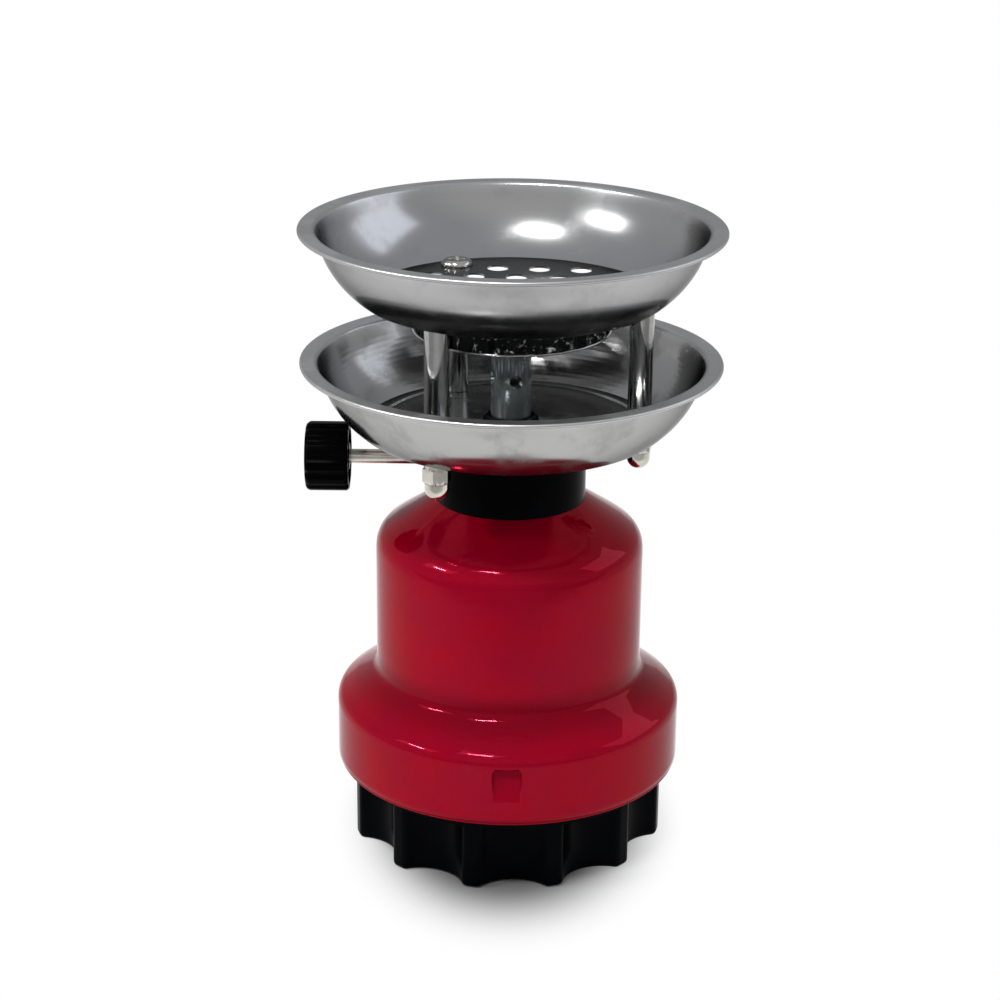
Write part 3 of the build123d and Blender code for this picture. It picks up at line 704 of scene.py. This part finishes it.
def portStrip():
    # corrugated strip: r(a) = R + wave x rounded zigzag(ports a), between two heights, one strip thick
    a = 2 * pi * np.arange(burner["ports"] * 16) / (burner["ports"] * 16)
    zigzag = np.arcsin(np.sin(a * burner["ports"]) * 0.97) / 1.33
    r = burner["portRadius"] + burner["wave"] * zigzag
    low, high = burner["lipZ"] + burner["sheet"], burner["capZ"]
    z = np.linspace(low, high, 6)

    def face(shift):
        radius = (r + shift)[:, None] + 0 * z
        return np.stack([radius * np.cos(a)[:, None], radius * np.sin(a)[:, None], z + 0 * radius], -1)

    loop = np.concatenate([face(burner["strip"] / 2), face(-burner["strip"] / 2)[:, ::-1]], axis=1)
    patch = loop.reshape(-1, 3), gridFaces(len(a), 12, True, True)
    makePiece("portStrip", [patch], "port_ring", sharp=45)


clampNut = {"across": 17.0, "height": 4.0, "bore": 5.6, "cut": 0.97, "cutHeight": 0.9}


def flatNut():
    # turned section with bevelled ends, held in by the hexagon's r(a)
    low, high = bowl["lowerFloor"], bowl["lowerFloor"] + clampNut["height"]
    corner, face = clampNut["across"] / sqrt(3), clampNut["across"] / 2 * clampNut["cut"]
    bore, bevel = clampNut["bore"], clampNut["cutHeight"]
    side = [(face, low), (corner, low + bevel), (corner, high - bevel), (face, high)]
    loop = evenRun([(bore, low), *side, (bore, high), (bore, low)], 1.5)[:-1]
    makePiece("clampNut", [spin(loop, limit=hexLimit(clampNut["across"]))], "bowl_nut", sharp=24)


mixingTube()
burnerPlates()
portStrip()
flatNut()
print("burner made")

# spindle and knob, worked out upright and then laid along -X

spindle = {
    "z": 141.4, "tip": 0.9, "tipRadius": 0.2, "cone": 4.2, "coneRadius": 2.4, "thread": 6.0, "core": 3.7,
    "land": 3.95, "landEnd": 17.5, "grooveFrom": 14.5, "grooveTo": 16.5, "groove": 2.3,
    "rod": 2.55, "end": 68.0,
}


def outwards(patch):
    # (x, y, z) becomes (-z, y, spindle height + x)
    points, faces = patch
    x, y, z = points.T
    return np.stack([-z, y, spindle["z"] + x], -1), faces


def spindleRod():
    # turned section: cone, a plain land where the thread would be, with the ring's groove, then the rod
    tip, cone, thread, landEnd, end = (spindle[k] for k in ("tip", "cone", "thread", "landEnd", "end"))
    grooveFrom, grooveTo, groove = spindle["grooveFrom"], spindle["grooveTo"], spindle["groove"]
    land, rod, coneRadius = spindle["land"], spindle["rod"], spindle["coneRadius"]
    run = [
        (0, tip), (spindle["tipRadius"], tip), (coneRadius, cone), (coneRadius, thread),
        (spindle["core"], thread), (land, thread + 0.3), (land, grooveFrom), (groove, grooveFrom),
        (groove, grooveTo), (land, grooveTo), (land, landEnd - 0.2), (land - 0.2, landEnd), (rod, landEnd),
        (rod, end - 0.3), (rod - 0.35, end), (0, end),
    ]
    turned = spin(evenRun(run, 3.0), closed=False, angles=2 * pi * np.arange(64) / 64)
    makePiece("needleSpindle", [outwards(turned)], "valve_spindle", sharp=25)


knob = {
    "radius": 12.3, "back": 56.8, "front": 72.1, "faceRound": 1.8, "backRound": 1.2,
    "flutes": 12, "fluteDepth": 0.8, "fluteHalf": 0.16,
    "hub": 4.8, "hollow": 9.8, "hollowDepth": 9.0, "bore": 2.55, "dish": 0.5, "dishRadius": 9.0,
}


def fluteDip(a):
    # share of the full flute depth in the direction a: (1 - (angle off the flute's middle / half)^2)^1.5
    step = 2 * pi / knob["flutes"]
    away = np.abs(a % step - step / 2)
    return np.clip(1 - (away / knob["fluteHalf"]) ** 2, 0, 1) ** 1.5


def knobCap():
    # turned section, its face dished by depth x (1 - (r / R)^2)^2; its outer wall draws in by the flute
    # depth, fading over the rounded edge of the face
    a = np.linspace(0, 2 * pi, 360, endpoint=False)
    back, front, radius = knob["back"], knob["front"], knob["radius"]
    bore, hub, hollow = knob["bore"], knob["hub"], knob["hollow"]
    deep = back + knob["hollowDepth"]
    middle = [(bore, back), (hub - 0.3, back), (hub, back + 0.3), (hub, deep)]
    wall = [(hollow - 0.4, deep), (hollow, deep - 0.4), (hollow, back + 0.2), (hollow + 0.2, back)]
    outer = np.concatenate([
        evenRun(middle, 1.5),
        evenRun(wall, 1.5),
        arc(radius - knob["backRound"], back + knob["backRound"], knob["backRound"], -90, 0, 9),
        evenRun([(radius, back + 1.4), (radius, front - 2.0)], 1.5),
        arc(radius - knob["faceRound"], front - knob["faceRound"], knob["faceRound"], 0, 90, 11),
    ])
    face = np.linspace(radius - knob["faceRound"] - 0.4, 0, 12)
    dished = front - knob["dish"] * np.clip(1 - (face / knob["dishRadius"]) ** 2, 0, 1) ** 2
    run = np.concatenate([outer, np.column_stack([face, dished])])
    points, faces = spin(run, closed=False, angles=a)
    x, y, z = points.T
    r = np.hypot(x, y)
    outside = np.clip((r - hollow - 0.6) / 1.2, 0, 1)
    draw = 1 - knob["fluteDepth"] * fluteDip(np.arctan2(y, x) % (2 * pi)) * outside / np.maximum(r, 1)
    fluted = np.stack([x * draw, y * draw, z], -1), faces
    blind = [(bore, back), (bore, spindle["end"]), (0, spindle["end"])]
    hole = spin(evenRun(blind, 3.0), closed=False, angles=a)
    makePiece("flutedKnob", [outwards(fluted), outwards(hole)], "knob", sharp=35)


spindleRod()
knobCap()
print("spindle and knob made")

# collar round the valve

collar = {
    "radius": 26.75, "wall": 2.1, "top": 153.1, "topSheet": 2.0, "bore": 5.6, "round": 0.8, "edge": 0.25,
    "side": 4.6, "slope": 33.0, "edgeZ": 127.05,
}


def collarCover():
    # wall drawn flat with the spindle's hole cut, then rolled up outside and inside; top and rim are turned
    radius, inner, bore = collar["radius"], collar["radius"] - collar["wall"], collar["bore"]
    low, high = collar["edgeZ"] + 0.3, collar["top"] - collar["round"]
    ceiling = collar["top"] - collar["topSheet"]
    hole = (pi * radius, spindle["z"], collar["side"], 40)
    flat, tris, loops, _ = unrolledWall(radius, low, high, columns, 12, [hole])
    inside = rolled(flat, radius, inner)
    innerLow = collar["edgeZ"] + collar["wall"] * tan(radians(collar["slope"]))
    clear = spindle["z"] - 6  # below the hole, the inner wall's rows draw up to its higher edge
    drawnUp = innerLow + (flat[:, 1] - low) * (clear - innerLow) / (clear - low)
    inside[:, 2] = np.where(flat[:, 1] < clear, drawnUp, flat[:, 1])
    atTop = (flat[:, 1] - low) / (high - low) > 0.999
    inside[:, 2] = np.where(atTop, ceiling, inside[:, 2])
    patches = [(rolled(flat, radius, radius), tris), (inside, tris)]
    patches += [wallBetween(rolled(loop, radius, radius), rolled(loop, radius, inner)) for loop in loops]
    turnIn = radius - collar["round"]
    cover = [(turnIn - 0.3, collar["top"]), (bore, collar["top"]), (bore, ceiling), (inner, ceiling)]
    roundTop = np.concatenate([arc(turnIn, high, collar["round"], 0, 90, 8), evenRun(cover, 3.0)])
    edge = collar["edge"]
    rim = np.array([(inner, innerLow), (radius - edge, collar["edgeZ"] + edge * 0.66), (radius, low)])
    patches += [spin(roundTop, closed=False), spin(rim, closed=False)]
    makePiece("collarCover", patches, "collar", sharp=35)


collarCover()
print("collar made")

# housing

shell = {
    "sheet": 0.8, "radius": 46.9, "skirt": 61.2, "low": 28.1, "top": 128.6, "flat": 24.05, "neck": 10.6,
    "shoulderFoot": 113.76, "stepZ": 62.6, "skirtZ": 52.44,
    "rounds": (3.0, 8.6, 5.5, 4.1),  # at the flat top, the shoulder's foot, the hollow and the skirt
    "dents": (-90.0, 30.0, 150.0), "dentReach": 6.6, "dentWidth": 9.6, "dentTop": 49.1, "dentLow": 36.9,
    "dentDepth": 2.4, "dentCorner": 1.3, "dentEdge": 0.55,
}


def dentAt(a, z):
    # depth pressed in at (angle, height): depth x slope x (3 s^2 - 2 s^3), where slope falls from 1 at the
    # top edge to 0 at the lower one and s grows from 0 to 1 across the outline, which has rounded corners
    turns = [np.abs((a - radians(d) + pi) % (2 * pi) - pi) for d in shell["dents"]]
    beside = np.min(turns, axis=0) * shell["skirt"]
    corner, tall = shell["dentCorner"], shell["dentTop"] - shell["dentLow"]
    middle = (shell["dentTop"] + shell["dentLow"]) / 2
    halfWide, halfTall = shell["dentWidth"] / 2 - corner, tall / 2 - corner
    away = np.hypot(np.maximum(beside - halfWide, 0), np.maximum(np.abs(z - middle) - halfTall, 0)) - corner
    share = np.clip(0.5 - away / shell["dentEdge"], 0, 1)
    slope = np.clip((z - shell["dentLow"]) / tall, 0, 1)
    return shell["dentDepth"] * slope * share * share * (3 - 2 * share)


def housingShell():
    # turned section whose skirt is pressed in by dentAt; angles and heights stand closer at the dents
    radius, skirt, low = shell["radius"], shell["skirt"], shell["low"]
    corners = [
        (shell["neck"], shell["top"]), (shell["flat"], shell["top"]), (radius, shell["shoulderFoot"]),
        (radius, shell["stepZ"]), (skirt, shell["skirtZ"]), (skirt, low + 0.4),
    ]
    outer = roundedRun(corners, shell["rounds"], 2.2, 11)
    far = outer[outer[:, 1] > shell["dentTop"] + 1.2]
    heights = np.arange(shell["dentTop"] + 1.0, shell["dentLow"] - 1.2, -0.26)
    fine = np.column_stack([np.full(len(heights), skirt), heights])
    below = evenRun([(skirt, shell["dentLow"] - 2.0), (skirt, low + 1.6)], 2.0)
    outer = np.concatenate([far, fine, below])
    inner = shifted(outer, -shell["sheet"])
    lip = arc(skirt - 0.1, low + 0.4, 0.4, 30, -160, 8)  # edge turned out by a hair
    run = np.concatenate([outer, lip, inner[-1:], inner[::3][::-1]])
    reach = shell["dentReach"]
    spread = np.linspace(-reach, reach, 53)
    coarse = np.linspace(reach, 120 - reach, 46)[1:-1]
    angles = np.radians(np.concatenate([d + np.concatenate([spread, coarse]) for d in shell["dents"]]))
    points, faces = spin(run, angles=angles)
    x, y, z = points.T
    r = np.hypot(x, y)
    onSkirt = r > (radius + skirt) / 2
    deep = np.where(onSkirt, dentAt(np.arctan2(y, x), z), 0)
    scale = 1 - deep / r
    makePiece("housingShell", [(np.stack([x * scale, y * scale, z], -1), faces)], "body_shell", sharp=50)


housingShell()
print("housing made")

# stage, lights and camera, in metres and watts

studio = {
    "floorRadius": 14.0,
    "floorShade": (0.86, 0.86, 0.86), "fleck": (0.8, 0.8, 0.8), "nearShade": (0.15, 0.15, 0.15),
    "shadow": (1.6, 0.052, 0.108),  # its depth to its width, then where it starts to fade and where it ends
    "floorFront": (-0.35, -0.14, 0.46),  # between these two y the glow rises from the third number to 1
    "floorSide": (0.24, 0.6, 0.7),  # between these two distances to the side it falls to the third
    "sideSlant": 0.22,  # share of y that comes off the distance to the side
    "sky": (0.46, 0.47, 0.49), "skyLow": (0.56, 0.56, 0.57), "skyRise": (0.02, 0.5),
    "skyFront": (0.4, 0.4, 0.405), "skyAhead": (0.6, 0.6, 0.6), "aheadRise": (0.16, 0.28),
    "aheadTurn": (-0.45, -0.85),  # from the first y of a direction to the second the front takes over
    "focus": (0.0, 0.0, 0.15),  # where the lamps point
}
softBoxes = {
    "topBox": {"at": (-0.34, -0.66, 1.55), "size": (0.6, 0.4), "power": 0.8, "tint": (1.0, 0.99, 0.97)},
    "topCore": {"at": (-0.337, -0.655, 1.54), "size": (0.34, 0.06), "power": 11.5, "tint": (1.0, 1.0, 1.0)},
    "leftBox": {"at": (-1.13, -0.42, 1.03), "size": (0.72, 0.35), "power": 0.9, "tint": (1.0, 1.0, 1.0)},
    "leftCore": {"at": (-1.12, -0.417, 1.023), "size": (0.3, 0.06), "power": 7.5, "tint": (1.0, 1.0, 1.0)},
    "rightBox": {"at": (1.5, 0.25, 0.95), "size": (1.3, 0.9), "power": 3.7, "tint": (0.84, 0.9, 1.0)},
}
view = {
    "distance": 0.80505, "height": 0.4239, "pitch": 0.3551, "yaw": -0.0044, "roll": 0.0094, "lens": 86.908,
}


def stageFloor():
    # disc z = 0 in rings whose radius grows outwards; camera and mirrors see it glow, the rest sees paper
    a = 2 * pi * np.arange(96) / 96
    r = np.concatenate([[0.0], np.geomspace(0.05, studio["floorRadius"], 24)])
    points = np.stack([np.outer(np.cos(a), r), np.outer(np.sin(a), r), np.zeros((len(a), len(r)))], -1)
    mesh = bpy.data.meshes.new("studioFloor")
    faces = gridFaces(len(a), len(r), True, False)[:, ::-1]
    mesh.from_pydata(points.reshape(-1, 3).tolist(), [], faces.tolist())
    floor = bpy.data.objects.new("studioFloor", mesh)
    bpy.context.scene.collection.objects.link(floor)
    paper = Finish("studioPaper", Roughness=0.9, SpecularIORLevel=0.1)
    place = paper.place()
    x, y, z = paper.apart(place)
    grain = paper.noise(place, 300.0, 2.0, 0.5)
    wide, inner, outer = studio["shadow"]
    far = paper.between((x * x * wide ** 2 + y * y).math("SQRT"), inner, outer)  # clear of the shadow
    pale = paper.blend(grain * 0.02, studio["floorShade"], studio["fleck"])
    paper.set(BaseColor=paper.blend(far, studio["nearShade"], pale))
    start, end, least = studio["floorSide"]
    beside = paper.between(x.math("ABSOLUTE") - y * studio["sideSlant"], start, end, 1.0, least)
    front = paper.between(y, *studio["floorFront"], 1.0) * beside
    glow = paper.node("ShaderNodeEmission", inputs={"Color": paper.join(front, front, front)})
    rays = paper.node("ShaderNodeLightPath")
    kinds = ("Is Camera Ray", "Is Glossy Ray", "Is Transmission Ray")
    camera, glossy, through = (Wire(paper, rays.socket.node.outputs[kind]) for kind in kinds)
    share = (camera + glossy + through).math("MINIMUM", 1.0) * far
    mixed = paper.node("ShaderNodeMixShader", inputs=[share, Wire(paper, paper.shader.outputs[0]), glow])
    paper.feed(paper.tree.nodes["Material Output"].inputs["Surface"], mixed)
    mesh.materials.append(paper.material)


def softBox(name, box):
    lamp = bpy.data.lights.new(name, "AREA")
    lamp.shape = "RECTANGLE"
    lamp.size, lamp.size_y = box["size"]
    lamp.energy = box["power"]
    lamp.color = box["tint"]
    holder = bpy.data.objects.new(name, lamp)
    bpy.context.scene.collection.objects.link(holder)
    aim = Vector(studio["focus"]) - Vector(box["at"])
    holder.matrix_world = Matrix.Translation(box["at"]) @ aim.to_track_quat("-Z", "Y").to_matrix().to_4x4()


def studioSky():
    # radiance by direction: brighter near the horizon, and in front darker low down than high up
    world = bpy.data.worlds.new("studioSky")
    bpy.context.scene.world = world
    world.use_nodes = True
    sky = Graph(world.node_tree)
    x, y, z = sky.apart(sky.node("ShaderNodeTexCoord", output="Generated"))
    around = sky.blend(sky.between(z, *studio["skyRise"]), studio["skyLow"], studio["sky"])
    front = sky.blend(sky.between(z, *studio["aheadRise"]), studio["skyFront"], studio["skyAhead"])
    both = sky.blend(sky.between(y, *studio["aheadTurn"]), around, front)
    sky.feed(world.node_tree.nodes["Background"].inputs["Color"], both)


def standCamera():
    # pitch looks down, yaw turns to the right and roll leans the frame, all in radians
    p, w, r = view["pitch"], view["yaw"], view["roll"]
    ahead = Vector((sin(w) * cos(p), cos(w) * cos(p), -sin(p)))
    right = Vector((cos(w), -sin(w), 0))
    up = right.cross(ahead)
    x = right * cos(r) + up * sin(r)
    y = up * cos(r) - right * sin(r)
    lens = bpy.data.cameras.new("studioCamera")
    lens.sensor_width = 36.0
    lens.lens = view["lens"]
    lens.clip_end = 60.0
    camera = bpy.data.objects.new("studioCamera", lens)
    bpy.context.scene.collection.objects.link(camera)
    turn = Matrix((x, y, -ahead)).transposed().to_4x4()
    camera.matrix_world = Matrix.Translation((0, -view["distance"], view["height"])) @ turn
    bpy.context.scene.camera = camera


stageFloor()
for name, box in softBoxes.items():
    softBox(name, box)
studioSky()
standCamera()
bpy.context.scene.view_settings.view_transform = "Standard"
print("stage, lights and camera set")
